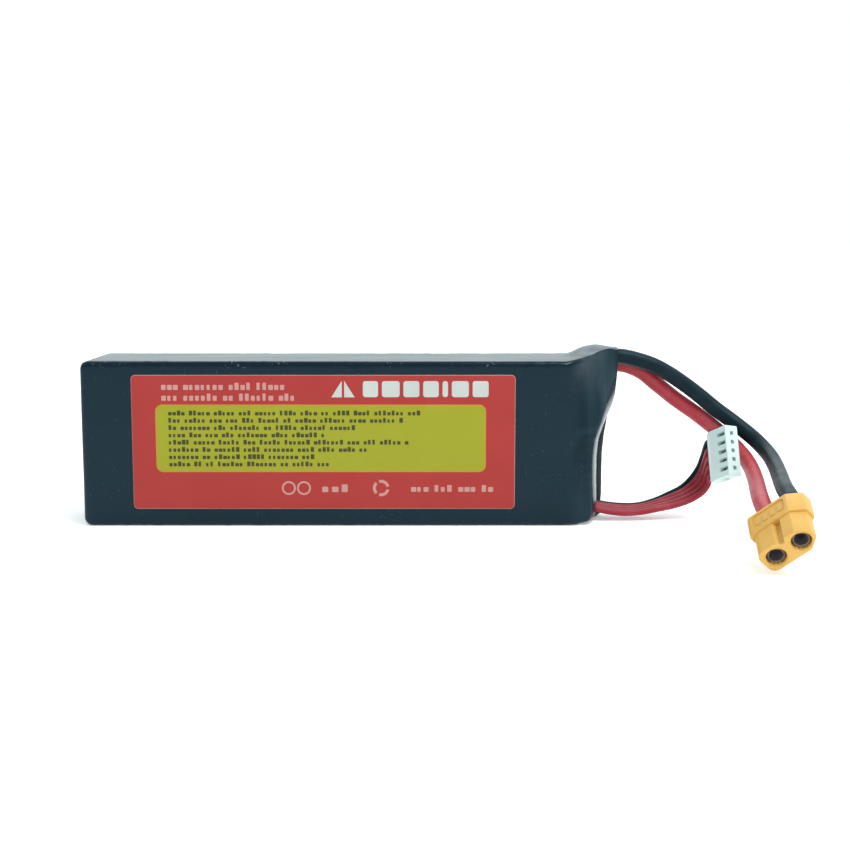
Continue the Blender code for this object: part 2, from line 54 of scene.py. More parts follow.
# --- film and label, whose boxes the frame gives ---
FILM_LOW, FILM_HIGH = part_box("shrink_wrap")
LABEL_LOW, LABEL_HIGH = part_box("front_label")
HEIGHT = 46.2 * MM                  # film over the straight part
TAPER_START = 58.5 * MM
CORNER = 1.5 * MM                   # radius of the pack's long edges
REAR_ROUND = 2.6 * MM               # how far the rear end's rounding reaches along X
FILM = 0.25 * MM
# How far the mouth's rear sheet reaches along X at some heights, in millimetres.
MOUTH_HEIGHTS = (0.0, 2.5, 6.0, 12.0, 18.0, 23.5, 29.0, 34.5, 37.5, 40.0, 43.5, 50.0)
MOUTH_REACH = (70.6, 71.3, 71.6, 71.7, 71.9, 72.5, 73.5, 74.3, 74.7, 75.1, 75.4, 75.5)
# Where the mouth's front and back sheets lie along Y, at its bottom, middle and top.
MOUTH_FRONT = (-9.2 * MM, -3.4 * MM, 0.8 * MM)
MOUTH_BACK = (3.6 * MM, 6.4 * MM, 12.4 * MM)
MOUTH_RAISE = 1.4 * MM              # how far the mouth's lower edge is off the surface
HUMP_RISE = 3.25 * MM               # height of the film's hump over the leads
HUMP_FALL = 0.8 * MM                # how much lower the hump is at the mouth's edge
FRONT_CUT = 2.9 * MM                # how far short of the rear sheet the front one ends
INSIDE_SHEEN_RINGS = 12                   # rings of the inner skin that are seen through the mouth, coloured paler grey as painted reflection
SIDE_STEPS = (34, 56)               # steps along a film section's short and long sides
CORNER_STEPS = 10
# Depths of the film's unevenness.
SLACK = 0.04 * MM
CRINKLE = 0.16 * MM
PLEAT = 0.07 * MM
STREAK = 0.18 * MM
REAR_FOLD = 0.45 * MM

# --- routes of the leads and wires, as in the CAD, in millimetres ---
LEAD_DIAMETER = 4.5 * MM
WIRE_DIAMETER = 1.7 * MM
BLACK_ROUTE = [
    (63.3, 4.2, 42.4), (66.8, 4.2, 44.3), (71.0, 4.2, 45.7), (76.3, 4.2, 46.1), (81.6, 4.6, 45.0),
    (87.1, 5.2, 43.0), (93.0, 5.7, 39.6), (98.8, 5.6, 35.4), (104.5, 4.8, 30.8), (109.9, 3.2, 26.8),
    (114.5, 0.2, 23.0), (116.7, -3.9, 20.5), (117.5, -9.5, 18.7), (116.9, -18.0, 17.3),
    (114.9, -30.0, 16.7), (112.3, -43.0, 16.9), (110.2, -54.0, 17.2),
]
RED_ROUTE = [
    (63.3, 8.8, 38.1), (66.8, 8.8, 40.6), (71.0, 8.8, 42.7), (77.2, 8.8, 43.4), (83.1, 8.7, 41.4),
    (87.8, 8.6, 37.7), (93.1, 8.2, 33.5), (99.4, 7.5, 29.1), (104.9, 6.0, 24.8), (108.3, 3.6, 21.7),
    (110.6, 0.2, 19.2), (111.8, -4.2, 17.2), (112.0, -10.5, 15.4), (111.1, -18.5, 14.2),
    (109.2, -29.0, 13.8), (106.8, -41.0, 13.9), (105.1, -51.0, 13.5),
]
# The middle wire's place, and the step from one wire to the next.
BALANCE_STATIONS = [
    ((62.4, -3.0, 5.2), (0.0, 1.85, 0.2)), ((66.5, -3.3, 4.3), (0.0, 1.85, 0.2)),
    ((71.5, -3.5, 3.2), (0.0, 1.85, 0.2)), ((76.6, -3.5, 2.6), (0.0, 1.85, 0.2)),
    ((81.7, -3.4, 2.8), (0.0, 1.85, 0.15)), ((86.7, -2.7, 3.8), (0.0, 1.85, 0.25)),
    ((91.3, -1.8, 5.1), (-0.1, 1.78, 0.5)), ((95.3, -1.0, 6.6), (-0.3, 1.72, 0.6)),
    ((98.4, -0.6, 8.8), (-0.5, 1.68, 0.7)), ((100.3, -0.9, 11.6), (-0.4, 1.58, 0.95)),
    ((100.9, -2.2, 14.4), (-0.2, 1.4, 1.5)),
]
WAYS = 5
WAY_PITCH = 2.5 * MM
CHAMFER_LENGTH = 2.7 * MM
CHAMFER_DEPTH = 0.8 * MM

POWER_PLUG_ORIGIN = Vector((105.75, -75.85, 6.87)) * MM
POWER_PLUG_X = Vector((0.704, -0.362, 0.611))
POWER_PLUG_Z = Vector((-0.079, -0.895, -0.439))
SOCKET_PITCH = 7.2 * MM
POWER_PLUG_LENGTH = 14.4 * MM
NOSE_LENGTH = 7.6 * MM
SOCKET_END = 11.9 * MM
LEAD_STRAIGHT = 16.5 * MM
# Outlines of the plug: square end, pointed end, half width, shoulders, half width of the tip.
COLLAR = (7.8 * MM, 7.7 * MM, 4.1 * MM, 4.2 * MM, 1.6 * MM)
NOSE = (7.2 * MM, 7.1 * MM, 3.6 * MM, 4.0 * MM, 1.2 * MM)
REAR_POCKET = (7.2 * MM, 7.1 * MM, 3.5 * MM, 4.0 * MM, 1.5 * MM)
NOSE_CORNER = 2.2 * MM

BALANCE_PLUG_ORIGIN = Vector((105.9, -14.0, 21.32)) * MM
BALANCE_PLUG_X = Vector((0.900, 0.407, -0.154))
BALANCE_PLUG_Z = Vector((0.434, -0.818, 0.378))
BALANCE_PLUG_SIZE = Vector((4.2, 14.4, 9.6)) * MM
CHANNEL_WIDTH = 1.5 * MM
PIN_HOLE_WIDTH = 1.1 * MM
PIN_HOLE_DEPTH = 1.1 * MM

# --- layout of the label's print ---
PRINT_LAYER = 0.03 * MM
PANEL_LOW = Vector((-54.5, 15.35)) * MM
PANEL_HIGH = Vector((37.0, 34.25)) * MM
PANEL_RIM = 0.32 * MM
SMALL_PRINT_START = -50.9 * MM
SMALL_PRINT_TOP = 31.9 * MM
SMALL_PRINT_SPACING = 2.035 * MM
SMALL_PRINT_LENGTHS = (69.6, 65.2, 51.5, 43.8, 67.1, 56.7, 41.0, 44.3)
HEADING_START = 2.95 * MM
HEADING_HEIGHTS = (36.3 * MM, 40.75 * MM)
HEADING_WIDTHS = (4.2, 4.9, 4.4, 4.3, 1.5, 4.7, 4.4)
HEADING_GAP = 1.05 * MM
FOOT_HEIGHT = 10.85 * MM


# --- materials ---
class Finish:
    """One Principled material, with helpers that add procedural detail to it."""

    def __init__(self, name, colour, roughness=0.5, metallic=0.0, specular=0.5):
        self.material = bpy.data.materials.new(name)
        self.material.use_nodes = True
        self.nodes = self.material.node_tree.nodes
        self.links = self.material.node_tree.links
        self.shader = self.nodes["Principled BSDF"]
        self.colour = (*colour, 1.0)
        self.shader.inputs["Base Color"].default_value = self.colour
        self.shader.inputs["Roughness"].default_value = roughness
        self.shader.inputs["Metallic"].default_value = metallic
        self.shader.inputs["Specular IOR Level"].default_value = specular
        self.height = None

    def point(self, stretch=(1.0, 1.0, 1.0)):
        """Texture point in metres, stretched along its axes."""
        where = self.nodes.new("ShaderNodeTexCoord")
        mapping = self.nodes.new("ShaderNodeMapping")
        mapping.inputs["Scale"].default_value = stretch
        self.links.new(where.outputs["Object"], mapping.inputs["Vector"])
        return mapping.outputs["Vector"]

    def noise(self, size, detail=3.0, stretch=(1.0, 1.0, 1.0)):
        """Noise from 0 to 1 whose features are about this size, in metres."""
        texture = self.nodes.new("ShaderNodeTexNoise")
        texture.inputs["Scale"].default_value = 1.0 / size
        texture.inputs["Detail"].default_value = detail
        self.links.new(self.point(stretch), texture.inputs["Vector"])
        return texture.outputs["Fac"]

    def cells(self, size):
        """Distance to the nearest of scattered points, for grain."""
        texture = self.nodes.new("ShaderNodeTexVoronoi")
        texture.inputs["Scale"].default_value = 1.0 / size
        self.links.new(self.point(), texture.inputs["Vector"])
        return texture.outputs["Distance"]

    def product(self, first, second):
        """Two shares multiplied."""
        node = self.nodes.new("ShaderNodeMath")
        node.operation = "MULTIPLY"
        self.links.new(first, node.inputs[0])
        self.links.new(second, node.inputs[1])
        return node.outputs["Value"]

    def place(self, axis):
        """Coordinate along an axis, in metres."""
        split = self.nodes.new("ShaderNodeSeparateXYZ")
        self.links.new(self.point(), split.inputs["Vector"])
        return split.outputs[axis]

    def remap(self, value, low, high, to_low=0.0, to_high=1.0):
        """Value moved from one range to another, held at its ends."""
        node = self.nodes.new("ShaderNodeMapRange")
        for socket, number in zip(("From Min", "From Max", "To Min", "To Max"),
                                  (low, high, to_low, to_high)):
            node.inputs[socket].default_value = number
        self.links.new(value, node.inputs["Value"])
        return node.outputs["Result"]

    def tint(self, share, colour):
        """Mix this colour in where the share is high."""
        mix = self.nodes.new("ShaderNodeMix")
        mix.data_type = "RGBA"
        self.links.new(share, mix.inputs["Factor"])
        base = self.shader.inputs["Base Color"]
        if base.is_linked:
            self.links.new(base.links[0].from_socket, mix.inputs[6])
        else:
            mix.inputs[6].default_value = self.colour
        mix.inputs[7].default_value = (*colour, 1.0)
        self.links.new(mix.outputs[2], base)

    def vary_roughness(self, share, low, high):
        """Roughness from low to high as the share goes from 0 to 1."""
        self.links.new(self.remap(share, 0.0, 1.0, low, high), self.shader.inputs["Roughness"])

    def bump(self, height, depth, strength=1.0):
        """Bump of this depth in metres, on top of any bump already there."""
        node = self.nodes.new("ShaderNodeBump")
        node.inputs["Distance"].default_value = depth
        node.inputs["Strength"].default_value = strength
        self.links.new(height, node.inputs["Height"])
        normal = self.shader.inputs["Normal"]
        if normal.is_linked:
            self.links.new(normal.links[0].from_socket, node.inputs["Normal"])
        self.links.new(node.outputs["Normal"], normal)


def add_painted_highlights(finish):
    """Painted highlights: small bright flecks painted into the colour where light would catch the crinkled
    top front edge, mostly near the mouth.
    """
    edge = finish.product(finish.remap(finish.place("Z"), HEIGHT - 2.2 * MM, HEIGHT - 0.4 * MM),
                          finish.remap(finish.place("Y"), -11.5 * MM, -14.0 * MM))
    edge = finish.product(edge, finish.remap(finish.noise(0.012, 2.0, (1.0, 0.2, 0.2)), 0.53, 0.60))
    edge = finish.product(edge, finish.remap(finish.place("X"), 36.0 * MM, 58.0 * MM, 0.25, 1.0))
    painted_flecks = finish.product(edge, finish.remap(finish.noise(0.0008, 2.0), 0.62, 0.68))
    # Painted highlight: pale flecks mixed into the base colour.
    finish.tint(painted_flecks, (0.42, 0.52, 0.54))


def film_finish():
    """Glossy dark PVC shrink film: mottle, dust, painted highlight flecks on the top front edge, and paler
    painted reflection streaks over the stretched taper.
    """
    finish = Finish("film", (0.0012, 0.0060, 0.0120), 0.25, specular=0.30)
    finish.shader.inputs["Specular Tint"].default_value = (0.55, 0.87, 1.0, 1.0)
    finish.tint(finish.remap(finish.noise(0.03, 3.0), 0.35, 0.7, 0.0, 0.7), (0.002, 0.0085, 0.017))
    dust = finish.remap(finish.noise(0.0009, 4.0), 0.66, 0.74)
    finish.tint(finish.remap(dust, 0.0, 1.0, 0.0, 0.18), (0.10, 0.13, 0.14))
    add_painted_highlights(finish)
    # Painted reflection: paler vertical streaks mixed into the colour over the taper, 60 to 68 mm along X.
    painted_taper_reflection = finish.product(
        finish.remap(finish.place("X"), 60.0 * MM, 68.0 * MM),
        finish.remap(finish.noise(0.02, 3.0, (8.0, 1.0, 0.5)), 0.35, 0.65, 0.25, 1.0))
    finish.tint(painted_taper_reflection, (0.013, 0.030, 0.040))
    finish.vary_roughness(finish.noise(0.006, 4.0, (0.3, 1.0, 1.0)), 0.17, 0.33)
    finish.bump(finish.noise(0.0035, 2.0, (0.35, 1.0, 1.0)), 0.00005, 0.55)
    finish.bump(finish.noise(0.0006, 3.0), 0.000008, 0.6)
    return finish.material


def vinyl_finish(name, colour, pale, roughness=0.38):
    """Printed vinyl: a faint mottle in the ink, paler where it is rubbed."""
    finish = Finish(name, colour, roughness, specular=0.28)
    finish.tint(finish.remap(finish.noise(0.012, 4.0), 0.4, 0.75, 0.0, 0.35), pale)
    finish.tint(finish.remap(finish.noise(0.0007, 2.0), 0.62, 0.75, 0.0, 0.12), pale)
    finish.vary_roughness(finish.noise(0.004, 3.0), roughness - 0.06, roughness + 0.08)
    finish.bump(finish.noise(0.0011, 3.0), 0.000012, 0.5)
    return finish.material


def silicone_finish(name, colour, pale, specular=0.32, sheen=(1.0, 1.0, 1.0)):
    """Soft silicone rubber: satin, with a little talc and fine unevenness."""
    finish = Finish(name, colour, 0.42, specular=specular)
    finish.shader.inputs["Specular Tint"].default_value = (*sheen, 1.0)
    finish.tint(finish.remap(finish.noise(0.004, 4.0), 0.45, 0.8, 0.0, 0.5), pale)
    finish.tint(finish.remap(finish.noise(0.0005, 3.0), 0.60, 0.72, 0.0, 0.25), pale)
    finish.vary_roughness(finish.noise(0.003, 3.0), 0.34, 0.55)
    finish.bump(finish.noise(0.0012, 3.0), 0.00003, 0.5)
    return finish.material


def moulded_finish(name, colour, deep, roughness=0.4):
    """Moulded plastic: fine grain, slight flow marks and patches of a deeper colour."""
    finish = Finish(name, colour, roughness, specular=0.5)
    finish.shader.inputs["Subsurface Weight"].default_value = 0.04
    finish.shader.inputs["Subsurface Radius"].default_value = (0.0012, 0.0009, 0.0005)
    finish.tint(finish.remap(finish.noise(0.005, 3.0), 0.4, 0.75, 0.0, 0.35), deep)
    finish.vary_roughness(finish.noise(0.0015, 3.0), roughness - 0.07, roughness + 0.10)
    finish.bump(finish.cells(0.00035), 0.000010, 0.5)
    finish.bump(finish.noise(0.002, 2.0), 0.00003, 0.3)
    return finish.material


def metal_finish(name, colour, roughness, worn):
    """Plated metal with drawing lines and slight tarnish."""
    finish = Finish(name, colour, roughness, 1.0)
    finish.tint(finish.remap(finish.noise(0.0015, 4.0), 0.45, 0.7, 0.0, 0.6), worn)
    finish.vary_roughness(finish.noise(0.0006, 3.0), roughness - 0.08, roughness + 0.14)
    finish.bump(finish.noise(0.0003, 2.0, (1.0, 1.0, 0.2)), 0.000006, 0.5)
    return finish.material


def fibre_finish(name, colour, pale, size):
    """Paper, foam or board: matt, mottled at this size."""
    finish = Finish(name, colour, 0.8, specular=0.25)
    finish.tint(finish.remap(finish.noise(size, 5.0), 0.4, 0.7, 0.0, 0.6), pale)
    finish.bump(finish.cells(size * 0.5), size * 0.08, 0.6)
    return finish.material


def pouch_finish():
    """Aluminium laminate pouch with a faint creased sheen."""
    finish = Finish("pouch", (0.62, 0.63, 0.65), 0.3, 0.9)
    finish.tint(finish.remap(finish.noise(0.008, 4.0), 0.4, 0.7, 0.0, 0.4), (0.45, 0.46, 0.49))
    finish.vary_roughness(finish.noise(0.002, 3.0), 0.22, 0.42)
    finish.bump(finish.noise(0.004, 3.0), 0.00008, 0.5)
    return finish.material


# --- mesh helpers ---
def smooth_route(points, spacing):
    """Points spaced evenly on a Catmull-Rom curve through the given points."""
    ends = [2 * points[0] - points[1], *points, 2 * points[-1] - points[-2]]
    dense = []
    for p0, p1, p2, p3 in zip(ends, ends[1:], ends[2:], ends[3:]):
        for t in np.linspace(0.0, 1.0, 16, endpoint=False):
            dense.append(0.5 * (2 * p1 + (p2 - p0) * t + (2 * p0 - 5 * p1 + 4 * p2 - p3) * t ** 2
                                + (3 * p1 - p0 - 3 * p2 + p3) * t ** 3))
    dense.append(points[-1])
    path = np.array([tuple(p) for p in dense])
    travelled = np.concatenate([[0.0], np.cumsum(np.linalg.norm(np.diff(path, axis=0), axis=1))])
    stations = np.linspace(0.0, travelled[-1], round(travelled[-1] / spacing) + 1)
    return [Vector([np.interp(s, travelled, path[:, axis]) for axis in range(3)]) for s in stations]


def object_from(name, bm):
    """New object in the scene from a bmesh, which is freed."""
    mesh = bpy.data.meshes.new(name)
    bm.to_mesh(mesh)
    bm.free()
    made = bpy.data.objects.new(name, mesh)
    bpy.context.scene.collection.objects.link(made)
    return made


def piece_from(name, bm, material, replaced=(), crease=35.0):
    """Turn a bmesh into a piece that rides on the pack and stands for CAD nodes."""
    bmesh.ops.recalc_face_normals(bm, faces=bm.faces)
    piece = object_from(name, bm)
    for entry in material if isinstance(material, (list, tuple)) else [material]:
        piece.data.materials.append(entry)
    sharpen(piece, crease)
    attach(piece, "root")
    if replaced:
        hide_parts(*replaced)
    return piece


def skin(bm, rings, closed=False):
    """Join rings of equal length with quads. Closed joins the last to the first, else the ends are capped."""
    loops = [[bm.verts.new(point) for point in ring] for ring in rings]
    pairs = list(zip(loops, loops[1:]))
    if closed:
        pairs.append((loops[-1], loops[0]))
    count = len(loops[0])
    faces = []
    for first, second in pairs:
        for k in range(count):
            following = (k + 1) % count
            faces.append(bm.faces.new((first[k], first[following], second[following], second[k])))
    if not closed:
        bm.faces.new(loops[0])
        bm.faces.new(loops[-1])
    return faces


def solid(rings):
    """Closed bmesh through the rings."""
    bm = bmesh.new()
    skin(bm, rings)
    return bm


def rounded_polygon(corners, steps=5):
    """Outline through (a, b, radius) corners, each rounded by an arc."""
    outline = []
    count = len(corners)
    for k in range(count):
        before = Vector(corners[k - 1][:2])
        corner = Vector(corners[k][:2])
        after = Vector(corners[(k + 1) % count][:2])
        back = (before - corner).normalized()
        ahead = (after - corner).normalized()
        half_angle = back.angle(ahead) / 2.0
        reach = corners[k][2] / math.tan(half_angle)
        centre = corner + (back + ahead).normalized() * (corners[k][2] / math.sin(half_angle))
        start = corner + back * reach - centre
        end = corner + ahead * reach - centre
        turn = start.angle_signed(end)
        first = math.atan2(start.y, start.x)
        for step in range(steps + 1):
            angle = first - turn * step / steps
            outline.append((centre.x + corners[k][2] * math.cos(angle),
                            centre.y + corners[k][2] * math.sin(angle)))
    return outline


def box_outline(low, high, radius, steps=5):
    """Rounded rectangle from low to high."""
    return rounded_polygon([(low[0], low[1], radius), (high[0], low[1], radius),
                            (high[0], high[1], radius), (low[0], high[1], radius)], steps)


def circle(radius, x, sides=48):
    """Points of a circle round (x, 0)."""
    angles = [2.0 * math.pi * k / sides for k in range(sides)]
    return [(x + radius * math.cos(a), radius * math.sin(a)) for a in angles]


def plug_matrix(origin, x_axis, z_axis):
    """Frame of a plug: X as given, Z out of its mating face."""
    z_axis = z_axis.normalized()
    y_axis = z_axis.cross(x_axis).normalized()
    x_axis = y_axis.cross(z_axis)
    matrix = Matrix((x_axis, y_axis, z_axis)).transposed().to_4x4()
    matrix.translation = origin
    return matrix


def cut(piece, cutters, matrix):
    """Take closed bmeshes away from the piece, and keep the result as its mesh."""
    for bm in cutters:
        bm.transform(matrix)
        bmesh.ops.recalc_face_normals(bm, faces=bm.faces)
        cutter = object_from("cutter", bm)
        modifier = piece.modifiers.new("cut", "BOOLEAN")
        modifier.operation = "DIFFERENCE"
        modifier.solver = "EXACT"
        modifier.object = cutter
        graph = bpy.context.evaluated_depsgraph_get()
        done = bpy.data.meshes.new_from_object(piece.evaluated_get(graph))
        piece.modifiers.clear()
        old = piece.data
        piece.data = done
        bpy.data.meshes.remove(old)
        bpy.data.objects.remove(cutter)


def prism(outline, start, end):
    """Closed bmesh: an outline in local X and Y, extruded along local Z."""
    return solid([[(a, b, z) for a, b in outline] for z in (start, end)])


def sharpen(piece, crease):
    """Smooth shading, with edges sharper than the crease angle kept."""
    piece.data.shade_smooth()
    piece.data.set_sharp_from_angle(angle=math.radians(crease))


# --- cords ---
def cord_mesh(points, radius, sides, ripple):
    """Tube along the points. The ripple gives each point of it a small change of radius."""
    before = [points[0]] + points[:-1]
    after = points[1:] + [points[-1]]
    tangents = [(b - a).normalized() for a, b in zip(before, after)]
    side = tangents[0].orthogonal().normalized()
    rings = []
    travelled = 0.0
    for index, (point, tangent) in enumerate(zip(points, tangents)):
        if index:
            travelled += (point - points[index - 1]).length
        side = (side - tangent * side.dot(tangent)).normalized()
        other = tangent.cross(side)
        ring = []
        for k in range(sides):
            angle = 2.0 * math.pi * k / sides
            reach = radius + ripple(travelled, angle)
            ring.append(point + (side * math.cos(angle) + other * math.sin(angle)) * reach)
        rings.append(ring)
    return solid(rings)


def lead_ripple(seed, total, soft_start):
    """Slight unevenness of a lead, with creases over its last stretch before the plug."""
    def ripple(travelled, angle):
        place = Vector((travelled / (9.0 * MM), math.cos(angle), math.sin(angle) + seed))
        slow = noise.noise(place) * 0.05 * MM
        near_plug = max(0.0, min(1.0, (travelled - soft_start) / (total - soft_start)))
        fine = Vector((travelled / (0.9 * MM), 1.3 * math.cos(angle) + seed, 1.3 * math.sin(angle)))
        return slow + noise.noise(fine) * 0.045 * MM * near_plug
    return ripple


def length_of(points):
    """Length of the line through the points."""
    return sum((b - a).length for a, b in zip(points, points[1:]))


def build_leads(matrix, black, red):
    """The two thick leads, each with its end in the power plug."""
    for name, route, x, material, slot in (
            ("main_lead_black", BLACK_ROUTE, SOCKET_PITCH / 2, black, "silicone_black"),
            ("main_lead_red", RED_ROUTE, -SOCKET_PITCH / 2, red, "silicone_red")):
        points = [Vector(point) * MM for point in route]
        for depth in (LEAD_STRAIGHT, POWER_PLUG_LENGTH, SOCKET_END + 0.3 * MM):
            points.append(matrix @ Vector((x, 0.0, -depth)))
        path = smooth_route(points, 0.8 * MM)
        total = length_of(path)
        ripple = lead_ripple(x / MM, total, total - 45.0 * MM)
        bm = cord_mesh(path, LEAD_DIAMETER / 2, 36, ripple)
        lead = piece_from(name + "_sleeve", bm, material, [name], 60.0)


def wire_ripple(seed):
    """Slight unevenness of a thin wire."""
    def ripple(travelled, angle):
        place = Vector((travelled / (4.0 * MM) + seed, math.cos(angle), math.sin(angle)))
        return 0.015 * MM * noise.noise(place)
    return ripple


def build_balance_wires(matrix, black, red):
    """Five thin wires side by side; the top one is black."""
    for way in range(WAYS):
        step = way - (WAYS - 1) / 2
        points = [(Vector(centre) + step * Vector(stride)) * MM for centre, stride in BALANCE_STATIONS]
        for behind in (1.6 * MM, 0.3 * MM):
            points.append(matrix @ Vector((0.0, step * WAY_PITCH, -BALANCE_PLUG_SIZE.z - behind)))
        path = smooth_route(points, 0.6 * MM)
        bm = cord_mesh(path, WIRE_DIAMETER / 2, 20, wire_ripple(3.1 * way))
        # The red wires take the deeper red, which is painted shade.
        material, slot = (black, "silicone_black") if way == WAYS - 1 else (red, "silicone_red")
        name = f"balance_wire_{way + 1}"
        wire = piece_from(name + "_sleeve", bm, material, [name], 60.0)


# --- film ---
def smoothstep(value):
    """Ease from 0 to 1."""
    value = max(0.0, min(1.0, value))
    return value * value * (3.0 - 2.0 * value)


def blend3(low, middle, high, share):
    """Smooth curve through three values, share 0 at the bottom and 1 at the top."""
    if share < 0.5:
        return low + (middle - low) * smoothstep(share * 2.0)
    return middle + (high - middle) * smoothstep(share * 2.0 - 1.0)


def film_ring(inset, radius):
    """Film section moved in by inset: a rounded rectangle as (y, z) pairs, its sides divided evenly."""
    low = (FILM_LOW.y + inset, inset)
    high = (FILM_HIGH.y - inset, HEIGHT - inset)
    ring = []
    centres = [(high[0] - radius, high[1] - radius, 0), (low[0] + radius, high[1] - radius, 90),
               (low[0] + radius, low[1] + radius, 180), (high[0] - radius, low[1] + radius, 270)]
    for index, (a, b, start) in enumerate(centres):
        arc = []
        for step in range(CORNER_STEPS + 1):
            angle = math.radians(start + 90.0 * step / CORNER_STEPS)
            arc.append((a + radius * math.cos(angle), b + radius * math.sin(angle)))
        ring += arc
        following = centres[(index + 1) % 4]
        angle = math.radians(start + 90.0)
        target = (following[0] + radius * math.cos(angle), following[1] + radius * math.sin(angle))
        steps = SIDE_STEPS[index % 2]
        for step in range(1, steps):
            share = step / steps
            ring.append((arc[-1][0] + (target[0] - arc[-1][0]) * share,
                         arc[-1][1] + (target[1] - arc[-1][1]) * share))
    return ring


def hump_height(y, share):
    """Rise of the film over the leads, rounded off towards the pack's front and back."""
    hump = HUMP_RISE * smoothstep(share / 0.6) - HUMP_FALL * smoothstep((share - 0.6) / 0.4)
    towards_back = smoothstep((y - 6.0 * MM) / (6.0 * MM))
    towards_front = smoothstep((2.5 * MM - y) / (9.0 * MM))
    return hump * (1.0 - 0.9 * towards_back - 0.6 * towards_front)


def mouth_edge(across, z):
    """Place of the mouth's edge along X. Low down, the front sheet ends short of the rear one."""
    reach = np.interp(z / MM, MOUTH_HEIGHTS, MOUTH_REACH) * MM
    in_front = 1.0 - smoothstep(across * 1.6)
    low_down = 1.0 - smoothstep((z - 22.0 * MM) / (15.0 * MM))
    return reach - FRONT_CUT * in_front * low_down


def mouth_point(y, z, share):
    """Place of a film point in the taper: share 0 where it starts and 1 at the mouth's edge."""
    front, back = FILM_LOW.y, FILM_HIGH.y
    across = (y - front) / (back - front)
    up = z / HEIGHT
    early = smoothstep(share)
    late = 0.38 * share ** 2 + 0.62 * max(0.0, (share - 0.76) / 0.24) ** 2
    # The front sheet turns in late, close to the edge, except near its top.
    turn = late + (early - late) * smoothstep((up - 0.5) / 0.48)
    new_front = front + (blend3(*MOUTH_FRONT, up) - front) * turn
    new_back = back + (blend3(*MOUTH_BACK, up) - back) * early
    new_y = new_front + (new_back - new_front) * across
    bottom = MOUTH_RAISE * early ** 2
    top = HEIGHT + hump_height(new_y, share)
    new_z = bottom + (top - bottom) * up
    end = mouth_edge(across, new_z)
    return Vector((TAPER_START + (end - TAPER_START) * share, new_y, new_z))


def edge_nearness(y, z):
    """1 on the pack's long edges and 0 more than 3 mm away from them."""
    from_side = min(y - FILM_LOW.y, FILM_HIGH.y - y)
    from_top = min(z, HEIGHT - z)
    return 1.0 - smoothstep(max(from_side, from_top) / (3.2 * MM))


def film_relief(point, y, z):
    """How far the film stands proud of its plain shape: slack, edge crinkles, pleats and streaks."""
    x = point.x
    slack = noise.noise(Vector((x / (26.0 * MM), y / (14.0 * MM), z / (20.0 * MM)))) * SLACK
    crinkle = noise.noise(Vector((x / (1.7 * MM), y / (2.6 * MM), z / (2.6 * MM) + 5.0)))
    patches = smoothstep(2.4 * noise.noise(Vector((x / (17.0 * MM), 3.0, y / (40.0 * MM)))) + 0.35)
    crinkle *= edge_nearness(y, z) * patches * CRINKLE
    near_mouth = smoothstep((x - 52.0 * MM) / (18.0 * MM))
    ridge = 1.0 - 2.0 * abs(noise.noise(Vector((x / (14.0 * MM), y / (3.0 * MM), z / (3.0 * MM) + 11.0))))
    pleats = (ridge - 0.6) * PLEAT * near_mouth ** 2
    streaks = noise.noise(Vector((x / (3.4 * MM), y / (9.0 * MM), z / (26.0 * MM)))) * STREAK * near_mouth
    return slack + crinkle + pleats + streaks


def rear_pleat(y, z, inward):
    """Radial folds where the film is gathered over the rear end."""
    angle = math.atan2(z - HEIGHT / 2, y)
    fold = noise.noise(Vector((5.5 * math.cos(angle), 5.5 * math.sin(angle), 2.0 + inward)))
    return fold * REAR_FOLD * smoothstep(inward)


def film_rings():
    """Rings of the film's plain outer surface, rear rim to mouth: each point, then its section's y and z."""
    rear = FILM_LOW.x
    rings = []
    for share in np.linspace(1.0, 0.0, 15):
        section = film_ring(CORNER + share * 6.0 * MM, CORNER + share * 2.8 * MM)
        rings.append([(Vector((rear + rear_pleat(y, z, share), y, z)), y, z) for y, z in section])
    for step in range(1, 9):
        angle = math.radians(90.0 * step / 8)
        x = rear + REAR_ROUND * (1.0 - math.cos(angle))
        section = film_ring(CORNER * (1.0 - math.sin(angle)), CORNER)
        rings.append([(Vector((x, y, z)), y, z) for y, z in section])
    section = film_ring(0.0, CORNER)
    count = round((TAPER_START - rear - REAR_ROUND) / (0.8 * MM))
    for x in np.linspace(rear + REAR_ROUND, TAPER_START, count + 1)[1:]:
        rings.append([(Vector((x, y, z)), y, z) for y, z in section])
    for share in np.linspace(0.0, 1.0, 37)[1:]:
        rings.append([(mouth_point(y, z, share), y, z) for y, z in section])
    return rings


def grid_normals(points):
    """Unit normals of a grid of points whose columns close on themselves, facing away from its axis."""
    along = np.gradient(points, axis=0)
    around = (np.roll(points, -1, axis=1) - np.roll(points, 1, axis=1)) / 2.0
    normals = np.cross(around, along)
    normals /= np.linalg.norm(normals, axis=2, keepdims=True) + 1e-12
    return normals


def behind_label(points):
    """Which points of the film lie under the label."""
    middle = (LABEL_LOW.x + LABEL_HIGH.x) / 2
    half = (LABEL_HIGH.x - LABEL_LOW.x) / 2 + MM
    return (np.abs(points[:, :, 0] - middle) < half) & (points[:, :, 1] < FILM_LOW.y + 0.1 * MM)


